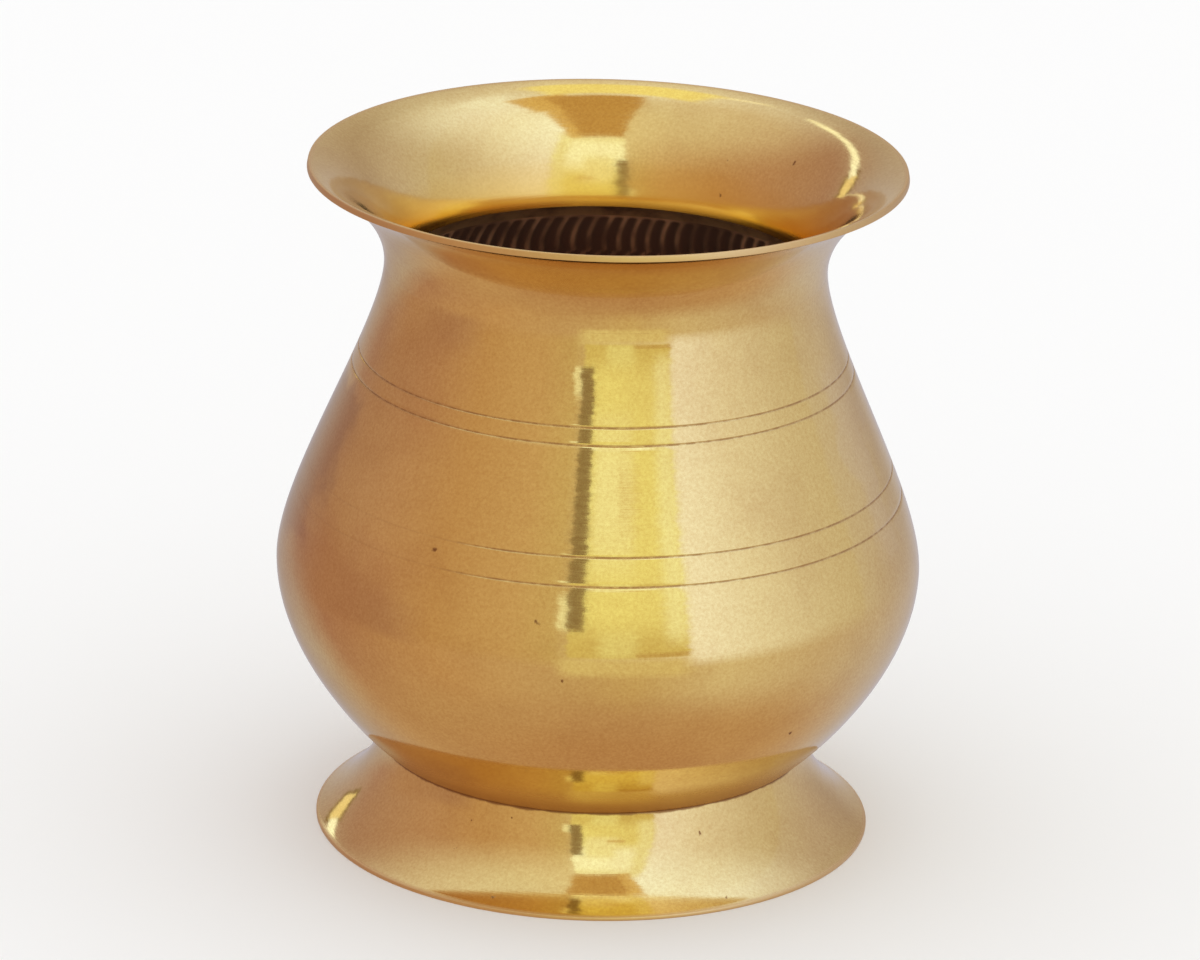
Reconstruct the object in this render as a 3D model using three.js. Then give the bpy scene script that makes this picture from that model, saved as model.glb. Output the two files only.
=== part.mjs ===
// A brass lota: a round-bellied water vessel with a flared mouth and a trumpet foot.
// Three beaten shells and a spun foot are brazed together at the throat, the belly and the foot.
// Millimetres, +Z up. The origin is the centre of the circle that the foot rests on.
import * as THREE from 'three';

// Driving dimensions
const footRadius = 43.2;
const footHeight = 13.6;
const footSheet = 1.2;
const footEdge = 0.5;
const creaseRadius = 33.4;
const bowlRise = 29.3;
const bottomDrop = 6.4;
const bellyRadius = 50;
const shoulderRise = 47.9;
const throatRadius = 34.1;
const mouthRise = 15;
const mouthRadius = 46.1;
const bodySheet = 1.0;
const neckSheet = 2.05;

// Run of the curves: how far each one holds its direction before it bends away, and its slopes
const footEdgeSlope = THREE.MathUtils.degToRad(35);
const footEdgeHold = 5;
const footWaistSlope = THREE.MathUtils.degToRad(82);
const footWaistHold = 5.6;
const bowlSlope = THREE.MathUtils.degToRad(37);
const bowlSlopeHold = 5;
const bottomHold = 16;
const bottomTurn = 7;
const bellyHoldBelow = 13.5;
const bellyHoldAbove = 11.2;
const throatHoldBelow = 10.9;
const throatHoldAbove = 8.2;
const lipSlope = THREE.MathUtils.degToRad(15.5);
const lipHold = 3.6;
const lipDraft = 0.2;

// Inside of the neck, where the sheet is thicker: the depth of its lower edge, and the run of its curve up to the lip
const neckDrop = 0.9;
const neckSlope = THREE.MathUtils.degToRad(83.5);
const neckHold = 5.65;
const lipInnerHold = 7.7;

// Seams: each upper shell tucks inside the lower one on a scarf, and a bead of brazing covers its inner edge
const scarfLap = 1.6;
const beadReach = 1.0;
const beadCrown = 0.45;
const neckFilletHollow = 0.3;
const footFilletLeg = 2.2;

// Turned lines: each line's height below the throat, and its section
const upperLineDrops = [13.6, 16.1];
const lowerLineDrops = [31.4, 35.5];
const lineWidth = 0.5;
const lineDepth = 0.2;

// Fineness of the facets
const turnSegments = 60;
const bottomSteps = 5;
const footSteps = 8;
const bowlSteps = 7;
const shoulderSteps = 9;
const mouthSteps = 7;
const beadSteps = 4;

// Heights of the seams above the rest plane
const creaseHeight = footHeight;
const bellyHeight = creaseHeight + bowlRise;
const throatHeight = bellyHeight + shoulderRise;
const lipHeight = throatHeight + mouthRise;

const point = (radius, height) => new THREE.Vector2(radius, height);
const slopeVector = (slope, length) => point(Math.cos(slope), Math.sin(slope)).multiplyScalar(length);

// Curves of the outer surface, each running upward or outward
const crease = point(creaseRadius, creaseHeight);
const seatInner = crease.clone().sub(slopeVector(bowlSlope, footSheet / Math.cos(bowlSlope)));
const bottomCurve = new THREE.CubicBezierCurve(
  point(0, creaseHeight - bottomDrop),
  point(bottomHold, creaseHeight - bottomDrop),
  seatInner.clone().sub(slopeVector(bowlSlope, bottomTurn)),
  seatInner,
);
const seatLine = new THREE.LineCurve(seatInner, crease);
const bowlCurve = new THREE.CubicBezierCurve(
  crease,
  crease.clone().add(slopeVector(bowlSlope, bowlSlopeHold)),
  point(bellyRadius, bellyHeight - bellyHoldBelow),
  point(bellyRadius, bellyHeight),
);
const shoulderCurve = new THREE.CubicBezierCurve(
  point(bellyRadius, bellyHeight),
  point(bellyRadius, bellyHeight + bellyHoldAbove),
  point(throatRadius, throatHeight - throatHoldBelow),
  point(throatRadius, throatHeight),
);
const lip = point(mouthRadius, lipHeight);
const neck = point(throatRadius - neckSheet, throatHeight - neckDrop);
const mouthCurve = new THREE.CubicBezierCurve(
  point(throatRadius, throatHeight),
  point(throatRadius, throatHeight + throatHoldAbove),
  lip.clone().sub(slopeVector(lipSlope, lipHold)),
  lip,
);
const footRim = point(footRadius, footEdge);
const footCurve = new THREE.CubicBezierCurve(
  footRim,
  footRim.clone().add(slopeVector(Math.PI - footEdgeSlope, footEdgeHold)),
  crease.clone().sub(slopeVector(Math.PI - footWaistSlope, footWaistHold)),
  crease,
);

// The lip is trimmed to a nearly upright edge, and the inside of the mouth runs from there down to the neck's edge
const lipOffset = sheetPoint(mouthCurve, 1, bodySheet);
const lipInner = lipOffset.clone().add(slopeVector(lipSlope, (mouthRadius - lipDraft - lipOffset.x) / Math.cos(lipSlope)));
const mouthInnerCurve = new THREE.CubicBezierCurve(
  neck,
  neck.clone().add(slopeVector(neckSlope, neckHold)),
  lipInner.clone().sub(slopeVector(lipSlope, lipInnerHold)),
  lipInner,
);

// Places along a curve, as shares of its length: even steps between the given lengths at its two ends
function places(curve, steps, startLengths = [], endLengths = []) {
  const length = curve.getLength();
  const starts = startLengths.map((d) => d / length);
  const ends = endLengths.map((d) => 1 - d / length);
  const from = starts.at(-1) ?? 0;
  const to = ends[0] ?? 1;
  const middle = Array.from({ length: steps - 1 }, (_, i) => from + ((to - from) * (i + 1)) / steps);
  return [0, ...starts, ...middle, ...ends, 1];
}

// A point on the sheet at a place along its outer curve, set in from the outer face by a depth
function sheetPoint(curve, place, depth = 0) {
  const onCurve = curve.getPointAt(place);
  const along = curve.getTangentAt(place);
  return onCurve.add(point(-along.y, along.x).multiplyScalar(depth));
}

const wall = (curve, spots, depth = 0) => spots.map((place) => sheetPoint(curve, place, depth));

// A closed profile turned about the Z axis
function turned(name, profile, material) {
  const onAxis = profile[0].x === 0;
  const closed = onAxis ? profile : [...profile, profile[0]];
  const geometry = new THREE.LatheGeometry(closed, turnSegments).rotateX(Math.PI / 2);
  const mesh = new THREE.Mesh(geometry, material);
  mesh.name = name;
  return mesh;
}

function brass(color, roughness) {
  return new THREE.MeshStandardMaterial({ color, roughness, metalness: 1 });
}

const polishedBrass = brass('#c9a25a', 0.25);
const beatenBrass = brass('#c39a50', 0.3);
const footBrass = brass('#c8a158', 0.25);
const brazingBrass = brass('#8f7236', 0.5);

// Inner faces at the seams, shared by the shells and the beads
const bowlSpots = places(bowlCurve, bowlSteps, [], [scarfLap + beadReach, scarfLap]);
const shoulderSpots = places(shoulderCurve, shoulderSteps, [], [scarfLap + beadReach, scarfLap]);
const mouthSpots = places(mouthCurve, mouthSteps);
const bottomSpots = places(bottomCurve, bottomSteps, [], [footFilletLeg]);
const footSpots = places(footCurve, footSteps, [], [footFilletLeg]);
const bowlInner = wall(bowlCurve, bowlSpots, bodySheet);
const shoulderInner = wall(shoulderCurve, shoulderSpots, bodySheet);
const mouthInner = wall(mouthInnerCurve, mouthSpots);
const footOuter = wall(footCurve, footSpots);
const bottomOuter = wall(bottomCurve, bottomSpots);

// Flared mouth and neck, whose lower edge stands inside the shoulder
function mouthAndNeck() {
  const outer = wall(mouthCurve, mouthSpots);
  const inner = [...mouthInner].reverse();
  return turned('mouth_and_neck', [...outer, ...inner, shoulderInner.at(-2)], polishedBrass);
}

// One turned line: a V cut into the outer face, as three points in upward order
function turnedLine(drop) {
  const height = throatHeight - drop;
  const place = placeAtHeight(shoulderCurve, height);
  const halfWidth = lineWidth / 2 / shoulderCurve.getLength();
  return [
    { place: place - halfWidth, depth: 0 },
    { place, depth: lineDepth },
    { place: place + halfWidth, depth: 0 },
  ];
}

// The place on a rising curve that lies at a height, found by halving
function placeAtHeight(curve, height) {
  let low = 0;
  let high = 1;
  while (high - low > 1e-9) {
    const middle = (low + high) / 2;
    if (curve.getPointAt(middle).y < height) low = middle;
    else high = middle;
  }
  return low;
}

// Upper body, with its turned lines cut into the outside
function shoulderShell() {
  const lines = [...upperLineDrops, ...lowerLineDrops].map(turnedLine);
  const clear = (place) => lines.every((line) => place < line[0].place || place > line[2].place);
  const plain = shoulderSpots.filter(clear).map((place) => ({ place, depth: 0 }));
  const marks = [...plain, ...lines.flat()].sort((a, b) => a.place - b.place);
  const outer = marks.map(({ place, depth }) => sheetPoint(shoulderCurve, place, depth));
  const inner = shoulderInner.slice(1, -1).reverse();
  const scarf = bowlInner.slice(-2).reverse();
  return turned('shoulder_shell', [...outer, ...inner, ...scarf], beatenBrass);
}

// Lower body with its closed bottom
function bowlShell() {
  const outer = [...bottomOuter, crease, ...wall(bowlCurve, bowlSpots).slice(1)];
  const seat = wall(seatLine, [0, 1], bodySheet);
  const bottomInner = wall(bottomCurve, bottomSpots, bodySheet).slice(0, -1);
  const inner = [...bottomInner, ...seat, ...bowlInner.slice(1, -1)];
  return turned('bowl_shell', [...outer, ...inner.reverse()], beatenBrass);
}

// Trumpet foot: its edge is ground flat where it rests, and its top is cut to the slope of the bowl
function footRing() {
  const restWidth = footSheet / Math.sin(footEdgeSlope) - footEdge / Math.tan(footEdgeSlope);
  const rest = [point(footRadius - restWidth, 0), point(footRadius, 0)];
  const inner = wall(footCurve, footSpots, footSheet).slice(1, -1);
  return turned('foot_ring', [...rest, ...footOuter, seatInner, ...inner.reverse()], footBrass);
}

// A run of brazing over the inner edge of a scarf joint, with a face that bends towards its pull point
function seamBraze(name, below, edge, above, pull) {
  const face = new THREE.QuadraticBezierCurve(above, pull, below).getPoints(beadSteps);
  return turned(name, [below, edge, above, ...face.slice(1, -1)], brazingBrass);
}

// The belly's braze is a raised bead
function bellyBead() {
  const [below, edge, above] = bowlInner.slice(-3);
  const along = above.clone().sub(below).normalize();
  const crown = edge.clone().add(point(-along.y, along.x).multiplyScalar(2 * beadCrown));
  return seamBraze('belly_seam_braze', below, edge, above, crown);
}

// The neck's braze is a fillet under the neck's lower edge
function neckFillet() {
  const [below, edge] = shoulderInner.slice(-3);
  const middle = below.clone().lerp(neck, 0.5);
  return seamBraze('neck_seam_braze', below, edge, neck, middle.lerp(edge, neckFilletHollow));
}

// A hollow fillet of brazing in the corner under the bowl, inside the foot
function footFillet() {
  const onBowl = bottomOuter.at(-2);
  const onFoot = wall(footCurve, footSpots, footSheet).at(-2);
  const face = new THREE.QuadraticBezierCurve(onBowl, seatInner, onFoot).getPoints(beadSteps);
  return turned('foot_seam_braze', [...face, seatInner], brazingBrass);
}

const lota = new THREE.Group();
lota.add(
  mouthAndNeck(),
  shoulderShell(),
  bowlShell(),
  footRing(),
  neckFillet(),
  bellyBead(),
  footFillet(),
);

export default lota;
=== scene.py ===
import bisect
import math

import bmesh
import bpy
from bpy.props import FloatProperty, FloatVectorProperty, PointerProperty
from mathutils import Matrix, Vector, noise


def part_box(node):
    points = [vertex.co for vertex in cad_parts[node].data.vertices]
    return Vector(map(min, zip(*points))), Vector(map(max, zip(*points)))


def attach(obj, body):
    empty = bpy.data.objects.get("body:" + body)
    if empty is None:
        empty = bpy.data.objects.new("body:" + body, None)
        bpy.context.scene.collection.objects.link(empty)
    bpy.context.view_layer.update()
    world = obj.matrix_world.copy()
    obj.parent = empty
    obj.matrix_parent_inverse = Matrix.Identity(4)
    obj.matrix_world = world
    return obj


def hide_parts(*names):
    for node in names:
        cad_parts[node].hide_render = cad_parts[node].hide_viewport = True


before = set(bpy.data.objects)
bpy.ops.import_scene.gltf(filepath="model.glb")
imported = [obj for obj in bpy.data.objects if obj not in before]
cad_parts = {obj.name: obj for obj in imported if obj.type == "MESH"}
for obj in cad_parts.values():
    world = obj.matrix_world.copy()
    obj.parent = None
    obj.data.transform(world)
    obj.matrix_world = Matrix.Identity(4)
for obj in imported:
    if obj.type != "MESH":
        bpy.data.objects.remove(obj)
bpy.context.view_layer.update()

bl_info = {
    "name": "Brass lota",
    "version": (1, 0, 0),
    "blender": (4, 5, 0),
    "location": "3D View > Sidebar > Lota",
    "description": "Turned and beaten brass shells of a lota, dressed round its packed solids",
    "category": "Object",
}

MM = 0.001

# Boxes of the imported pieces, which the sizes below come from
FOOT_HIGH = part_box("foot_ring")[1]
BOWL_LOW, BOWL_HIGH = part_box("bowl_shell")
SHOULDER_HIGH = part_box("shoulder_shell")[1]
MOUTH_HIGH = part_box("mouth_and_neck")[1]

# How far each curve of the outline holds its direction before it bends away, its slopes, the height of the foot's
# upright edge and how far the lip's edge leans in
FOOT_EDGE = 0.5 * MM
FOOT_EDGE_SLOPE = math.radians(29)
FOOT_EDGE_HOLD = 5 * MM
FOOT_WAIST_SLOPE = math.radians(82)
FOOT_WAIST_HOLD = 5.6 * MM
BOWL_SLOPE = math.radians(37)
BOWL_SLOPE_HOLD = 5 * MM
BOTTOM_HOLD = 16 * MM
BOTTOM_TURN = 7 * MM
BELLY_HOLD_BELOW = 13.5 * MM
BELLY_HOLD_ABOVE = 11.2 * MM
THROAT_HOLD_BELOW = 10.9 * MM
THROAT_HOLD_ABOVE = 8.2 * MM
LIP_SLOPE = math.radians(15.5)
LIP_HOLD = 3.6 * MM
LIP_DRAFT = 0.2 * MM

# Inside of the neck, where the sheet is thicker
NECK_DROP = 0.9 * MM
NECK_SLOPE = math.radians(83.5)
NECK_HOLD = 5.65 * MM
LIP_INNER_HOLD = 7.7 * MM

# Seams inside the body and under the bowl
SCARF_LAP = 1.6 * MM
BEAD_REACH = 1.0 * MM
BEAD_CROWN = 0.45 * MM
NECK_FILLET_HOLLOW = 0.3
FILLET_LEG = 2.2 * MM
BEAD_ROWS = 10

# Turned lines on the shoulder, as drops below the throat, their section, and how far from a line's middle the other
# rows begin, as a share of half its width
UPPER_LINES = (13.6 * MM, 16.1 * MM)
LOWER_LINES = (31.4 * MM, 35.5 * MM)
LINE_HALF_WIDTH = 0.22 * MM
LINE_DEPTH = 0.09 * MM
LINE_SECTION = ((-1, 0), (-0.6, 0.35), (-0.3, 0.85), (0, 1), (0.3, 0.85), (0.6, 0.35), (1, 0))
LINE_CLEARANCE = 1.3

# Hammer marks inside: how many there are round the body, and each row's height, depth and lean
MARKS_AROUND = 91
MARK_ROW = 7 * MM
MARK_DEPTH = 0.16 * MM
MARK_LEAN = 1.5

# How a hammer mark leans and wanders: the share of its row at which it stands upright, how finely and how far it
# wanders, and how flat its middle is
MARK_UPRIGHT = 0.3
MARK_WANDER_SCALE = 90
MARK_WANDER = 0.2
MARK_FLATNESS = 2.5

# Heights over which the marks set in at the ends of the shoulder and of the bowl, and how far up the bowl they begin
SHOULDER_MARGIN = 0.8 * MM
BOWL_MARGIN = 2 * MM
BOTTOM_CLEARANCE = 3 * MM

# Small unevenness of the beaten body: the most that it stands in, the height over which it changes, and the height
# above the crease over which it sets in
WOBBLE = 0.25 * MM
WOBBLE_HEIGHT = 40 * MM
WOBBLE_FADE = 10 * MM

# Worn stretch of the lower pair of lines: its middle and half its width in degrees round the vessel from the front,
# the share of the depth that is lost, and how steeply that sets in
WORN_MIDDLE = -75
WORN_REACH = 55
WORN_MOST = 0.92
WORN_ONSET = 5

# Fineness of the turned meshes: the like wedges that they are made of, the steps round them, the step between rows
# and its smaller shares beside a seam, the radius of a rounded edge, and the angle from which an edge stays sharp
WEDGES = 14
TURNS = 26 * WEDGES
HAMMERED_TURNS = 39 * WEDGES
ROW_STEP = 0.8 * MM
EASED_SHARES = (1 / 16, 3 / 16, 7 / 16)
EDGE_RADIUS = 0.15 * MM
SHARP_ANGLE = math.radians(32)

# Inner rows of the foot that lie lower than this give way to its flat edge
FOOT_ROW_LOW = 0.1 * MM

# Heat has dulled the bowl just above the foot and turned the inside of the neck yellow: how far up, and how much
# at its start and at the least
BOWL_STAIN = ("stain", 9.5 * MM, 1.3, 0.0)
NECK_GLOW = ("glow", 9 * MM, 1.0, 0.12)

# What the fine grain does to the brass where it is strongest
GRAIN = (0.85, 0.77, 0.70)

# Heights over which the ridges inside turn from dull to bright, and how bright they are at their dullest
RIDGES_BRIGHTEN = (74 * MM, 85 * MM)
RIDGES_LEAST = 0.3

# Roughness of the polished brass, least and most, and what is added on trimmed edges, on stained brass, on brass
# turned yellow by heat, and in lines, in pits and along the crease with its painted shade and grime
POLISH = (0.06, 0.11)
DULL_EDGE, DULL_STAIN, DULL_GLOW, DULL_DIRT = 0.3, 0.36, 0.1, 0.35

# Patches over the brass, tarnish and painted light: left, right, low and high edges in degrees round the vessel from
# the front and in mm, softness of the sides and of the low and high edges, strength, and colour. The first is a
# painted reflection of a dark thing near the left edge, the next two are tarnish, and the last is a painted pale
# sheen on the right
PATCHES = (
    (-106, -68, 50, 72, 7, 3, 0.6, (0.56, 0.41, 0.24)),
    (-80, -40, 41, 55, 24, 10, 0.45, (0.66, 0.38, 0.22)),
    (-58, -36, 72, 88, 18, 8, 0.25, (0.66, 0.38, 0.20)),
    (62, 76, 52, 80, 5, 6, 0.25, (0.90, 0.78, 0.58)),
)

# How raggedly the patches end: the scale of the noise, and how far it shifts their sides in degrees and their low
# and high edges in mm
PATCH_NOISE = 120.0
PATCH_SHIFT = 24.0
PATCH_LIFT = 12.0

# Pits in the polished face: angle round the vessel from the front in degrees, radius, height and size in mm
PITS = ((-32.3, 45.9, 57.7, 0.5), (-10.5, 48.7, 49.9, 0.55), (-5.5, 49.95, 41.4, 0.3), (41.0, 45.5, 27.9, 0.4),
        (128.7, 37.1, 100.5, 0.5), (148.5, 35.6, 98.5, 0.25), (147.8, 33.0, 93.5, 0.3), (-21.0, 33.8, 11.8, 0.3),
        (-32.0, 34.4, 10.2, 0.25), (-34.0, 37.0, 6.1, 0.3), (28.8, 34.7, 9.6, 0.4), (30.2, 41.8, 1.5, 0.45),
        (-20.5, 41.6, 1.7, 0.45), (96.0, 47.0, 54.0, 0.4), (171.0, 49.3, 36.0, 0.5), (-128.0, 44.0, 62.0, 0.4))

# How raggedly the pits end: the scale of the noise and how far it shifts them
PIT_NOISE = 1500.0
PIT_SHIFT = 0.9 * MM

# The photograph's camera, a long lens a little above the vessel, and the wide round floor under it
CAMERA_PLACE = Vector((0, -1.0339, 0.42475))
CAMERA_PITCH = math.radians(19.65)
CAMERA_ROLL = 0.0268
CAMERA_LENS = 212.9
SENSOR_WIDTH = 36.0
CLIP_START = 0.1
FLOOR_RADIUS = 6.0
FLOOR_SEGMENTS = 96
FLOOR_ROUGHNESS = 0.9

# The room that the metal reflects, by angle round it from the front, to the right
LOW_WALLS = ((-180, (0.58, 0.52, 0.48)), (-162, (0.50, 0.43, 0.43)), (-136, (0.45, 0.29, 0.26)),
             (-90, (0.54, 0.34, 0.245)), (-60, (0.58, 0.37, 0.21)), (-30, (0.65, 0.465, 0.27)),
             (-14, (0.67, 0.54, 0.30)), (36, (1.05, 1.12, 1.28)), (60, (0.90, 0.91, 0.92)),
             (90, (0.72, 0.68, 0.62)), (107, (0.66, 0.61, 0.53)), (109, (0.66, 0.62, 0.60)),
             (130, (0.60, 0.55, 0.56)), (152, (0.48, 0.41, 0.38)), (180, (0.58, 0.52, 0.48)))
HIGH_WALLS = ((-180, (0.92, 0.95, 0.95)), (-150, (0.95, 1.02, 1.12)), (-120, (0.84, 0.82, 0.76)),
              (-60, (0.82, 0.79, 0.67)), (-14, (0.86, 0.82, 0.65)), (36, (1.15, 1.36, 1.65)),
              (75, (1.07, 1.20, 1.36)), (110, (1.07, 1.22, 1.48)), (150, (0.90, 0.95, 1.00)),
              (180, (0.92, 0.95, 0.95)))
NEAR_FLOOR = ((-180, (0.52, 0.49, 0.54)), (-160, (0.46, 0.40, 0.41)), (-138, (0.52, 0.445, 0.44)),
              (-115, (0.49, 0.30, 0.24)), (-60, (0.63, 0.42, 0.26)), (-15, (0.65, 0.49, 0.32)),
              (15, (0.71, 0.58, 0.35)), (45, (0.76, 0.68, 0.52)), (90, (0.64, 0.54, 0.46)),
              (135, (0.61, 0.57, 0.62)), (180, (0.52, 0.49, 0.54)))

# Angles up or down over which the room changes from its low to its high walls and to its near floor, and the tones
# of the floor farther down
HIGH_WALLS_FROM = (28, 66)
NEAR_FLOOR_FROM = (-4, -18)
LOWER_TONES = ((-30, -60, (0.58, 0.39, 0.25)), (-55, -80, (0.54, 0.33, 0.20)))

# Strength of the plain light on everything that isn't a reflection
PLAIN_LIGHT = 1.05

# Panels of the room: left, right, low and high edges in degrees, softness of the sides and of the low and
# high edges, and colour
PANELS = (
    (-120, -70, -16, 5, 26, 12, (0.49, 0.30, 0.22)),
    (-12, 33, -24, -5, 9, 9, (0.84, 0.78, 0.47)),
    (-9.8, 32.5, -5, 57, 0.8, 0.8, (0.80, 0.73, 0.33)),
    (1, 14, -4, 11, 5, 5, (0.93, 0.96, 0.53)),
    (-9.8, 32.5, 10, 57, 0.8, 14, (0.96, 0.97, 0.49)),
    (-9.8, 32.5, 34, 57, 0.8, 12, (1.15, 1.32, 1.25)),
    (-3, 14, 24, 44, 6, 8, (1.03, 1.10, 0.80)),
    (25, 32.5, 5, 57, 6, 12, (1.02, 1.10, 0.80)),
    (8, 18, 26.6, 29, 0.8, 0.8, (0.78, 0.64, 0.33)),
    (14, 32.5, -4.5, -1.5, 0.8, 0.8, (0.66, 0.51, 0.22)),
    (-13.8, -9.8, 10, 19, 0.8, 0.8, (1.02, 1.08, 0.85)),
    (-10.6, -4.4, 10, 42, 0.8, 0.8, (0.32, 0.25, 0.14)),
    (-151.5, -143.5, 3, 19, 0.8, 0.8, (0.30, 0.22, 0.13)),
    (-150, -145, 5, 17, 0.8, 0.8, (1.00, 0.88, 0.50)),
    (-149.2, -145.4, 17, 47, 0.8, 0.8, (1.25, 1.40, 1.40)),
    (-154.6, -151.6, 53, 64, 0.8, 0.8, (1.25, 1.40, 1.40)),
)

# Panels of its ceiling: left, right, near and far edges as shares of its height, the two softnesses, and colour
CEILING = (
    (-0.25, 0.18, -0.54, -0.22, 0.04, 0.05, (1.08, 1.10, 0.58)),
    (0.30, 0.50, -0.42, -0.14, 0.2, 0.2, (1.10, 1.30, 1.58)),
    (-0.11, 0.285, -0.17, 0.61, 0.012, 0.012, (0.80, 0.61, 0.28)),
    (0.13, 0.335, -0.22, 0.10, 0.012, 0.012, (0.80, 0.61, 0.28)),
    (-0.11, 0.20, -0.17, 0.61, 0.012, 0.012, (0.61, 0.40, 0.16)),
)


class LotaSizes(bpy.types.PropertyGroup):
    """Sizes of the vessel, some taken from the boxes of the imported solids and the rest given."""

    foot_radius: FloatProperty(
        name="Foot radius", description="Outer radius of the edge that the foot rests on",
        default=FOOT_HIGH.x, min=0, unit="LENGTH")
    crease_radius: FloatProperty(
        name="Crease radius", description="Radius where the foot meets the bowl",
        default=33.4 * MM, min=0, unit="LENGTH")
    crease_height: FloatProperty(
        name="Crease height", description="Height where the foot meets the bowl",
        default=FOOT_HIGH.z, min=0, unit="LENGTH")
    foot_sheet: FloatProperty(
        name="Foot sheet", description="Thickness of the foot's sheet",
        default=1.2 * MM, min=0, unit="LENGTH")
    body_sheet: FloatProperty(
        name="Body sheet", description="Thickness of the body's sheet",
        default=1.0 * MM, min=0, unit="LENGTH")
    neck_sheet: FloatProperty(
        name="Neck sheet", description="Thickness of the neck's lower edge",
        default=2.05 * MM, min=0, unit="LENGTH")
    bottom_height: FloatProperty(
        name="Bottom height", description="Height of the underside of the bowl",
        default=BOWL_LOW.z, min=0, unit="LENGTH")
    belly_radius: FloatProperty(
        name="Belly radius", description="Largest radius of the body",
        default=BOWL_HIGH.x, min=0, unit="LENGTH")
    belly_height: FloatProperty(
        name="Belly height", description="Height of the largest radius",
        default=BOWL_HIGH.z, min=0, unit="LENGTH")
    throat_radius: FloatProperty(
        name="Throat radius", description="Outer radius of the neck where it is narrowest",
        default=34.1 * MM, min=0, unit="LENGTH")
    throat_height: FloatProperty(
        name="Throat height", description="Height of the throat",
        default=SHOULDER_HIGH.z, min=0, unit="LENGTH")
    mouth_radius: FloatProperty(
        name="Mouth radius", description="Outer radius of the lip",
        default=MOUTH_HIGH.x, min=0, unit="LENGTH")
    lip_height: FloatProperty(
        name="Lip height", description="Height of the lower corner of the lip",
        default=105.8 * MM, min=0, unit="LENGTH")


class LotaFinish(bpy.types.PropertyGroup):
    """Colours of the brass and of the floor."""

    brass_colour: FloatVectorProperty(
        name="Brass", description="Colour of the polished brass",
        default=(0.91, 0.735, 0.36), subtype="COLOR", size=3, min=0, max=1)
    tarnish_colour: FloatVectorProperty(
        name="Tarnish", description="Colour of the brass where it has darkened",
        default=(0.68, 0.45, 0.21), subtype="COLOR", size=3, min=0, max=1)
    edge_colour: FloatVectorProperty(
        name="Trimmed edge", description="Colour of the trimmed edges of the lip and the foot",
        default=(0.72, 0.49, 0.26), subtype="COLOR", size=3, min=0, max=1)
    stain_colour: FloatVectorProperty(
        name="Stain", description="Colour of the brass where heat has dulled it",
        default=(0.62, 0.37, 0.14), subtype="COLOR", size=3, min=0, max=1)
    glow_colour: FloatVectorProperty(
        name="Neck", description="Colour of the brass at the inside of the neck",
        default=(0.84, 0.55, 0.15), subtype="COLOR", size=3, min=0, max=1)
    line_colour: FloatVectorProperty(
        name="Turned lines", description="Colour in the turned lines",
        default=(0.40, 0.21, 0.09), subtype="COLOR", size=3, min=0, max=1)
    # This colour darkens the pits as grime and the crease as painted shade with some grime
    grime_and_crease_shade_colour: FloatVectorProperty(
        name="Grime And Crease Shade", description="Colour of the dirt in the crease and the pits",
        default=(0.25, 0.10, 0.04), subtype="COLOR", size=3, min=0, max=1)
    ridge_colour: FloatVectorProperty(
        name="Hammered ridges", description="Colour of the ridges between the hammer marks inside",
        default=(0.90, 0.50, 0.28), subtype="COLOR", size=3, min=0, max=1)
    hollow_colour: FloatVectorProperty(
        name="Hammered hollows", description="Colour of the oxidised hollows of the hammer marks inside",
        default=(0.215, 0.11, 0.076), subtype="COLOR", size=3, min=0, max=1)
    brazing_colour: FloatVectorProperty(
        name="Brazing", description="Colour of the runs of brazing",
        default=(0.60, 0.36, 0.18), subtype="COLOR", size=3, min=0, max=1)
    floor_colour: FloatVectorProperty(
        name="Floor", description="Colour of the floor",
        default=(0.94, 0.94, 0.94), subtype="COLOR", size=3, min=0, max=1)


# Outline of the vessel, as Bezier curves in the plane of radius and height

class Curve:
    """One stretch of the outline. It is walked by distance from its start."""

    SAMPLES = 200

    def __init__(self, *controls):
        self.controls = controls
        points = [self.at_share(i / self.SAMPLES) for i in range(self.SAMPLES + 1)]
        self.walked = [0.0]
        for p, q in zip(points, points[1:]):
            self.walked.append(self.walked[-1] + (q - p).length)
        self.length = self.walked[-1]

    def at_share(self, t):
        a, b, c, d = self.controls
        u = 1 - t
        return a * u ** 3 + b * 3 * u * u * t + c * 3 * u * t * t + d * t ** 3

    def share(self, distance):
        """The Bezier parameter at a distance along the curve."""
        i = min(max(bisect.bisect_right(self.walked, distance) - 1, 0), self.SAMPLES - 1)
        step = self.walked[i + 1] - self.walked[i]
        return min(max((i + (distance - self.walked[i]) / step) / self.SAMPLES, 0.0), 1.0)

    def inward(self, distance):
        """Unit vector from the outer face into the sheet."""
        a, b, c, d = self.controls
        t = self.share(distance)
        u = 1 - t
        tangent = (b - a) * u * u + (c - b) * 2 * u * t + (d - c) * t * t
        tangent.normalize()
        return Vector((-tangent.z, 0, tangent.x))

    def point(self, distance, depth=0.0):
        return self.at_share(self.share(distance)) + self.inward(distance) * depth

    def rows(self, end=None, depth=0.0, **marks):
        """Rings at even steps up to a distance, set in from the outer face by a depth."""
        end = self.length if end is None else end
        steps = round(end / ROW_STEP)
        return [Row(self.point(end * i / steps, depth), **marks) for i in range(steps + 1)]

    def distance_at_height(self, height):
        low, high = 0.0, self.length
        for _ in range(40):
            middle = (low + high) / 2
            if self.point(middle).z < height:
                low = middle
            else:
                high = middle
        return low


class Row:
    """One ring of a turned piece: its point, and marks for its place inside or on a trimmed edge, for the depth
    of a line, and for what heat has done to it."""

    def __init__(self, point, inside=0.0, edge=0.0, line=0.0):
        self.point = point
        self.marks = {"inside": inside, "edge": edge, "line": line, "stain": 0.0, "glow": 0.0}


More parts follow.
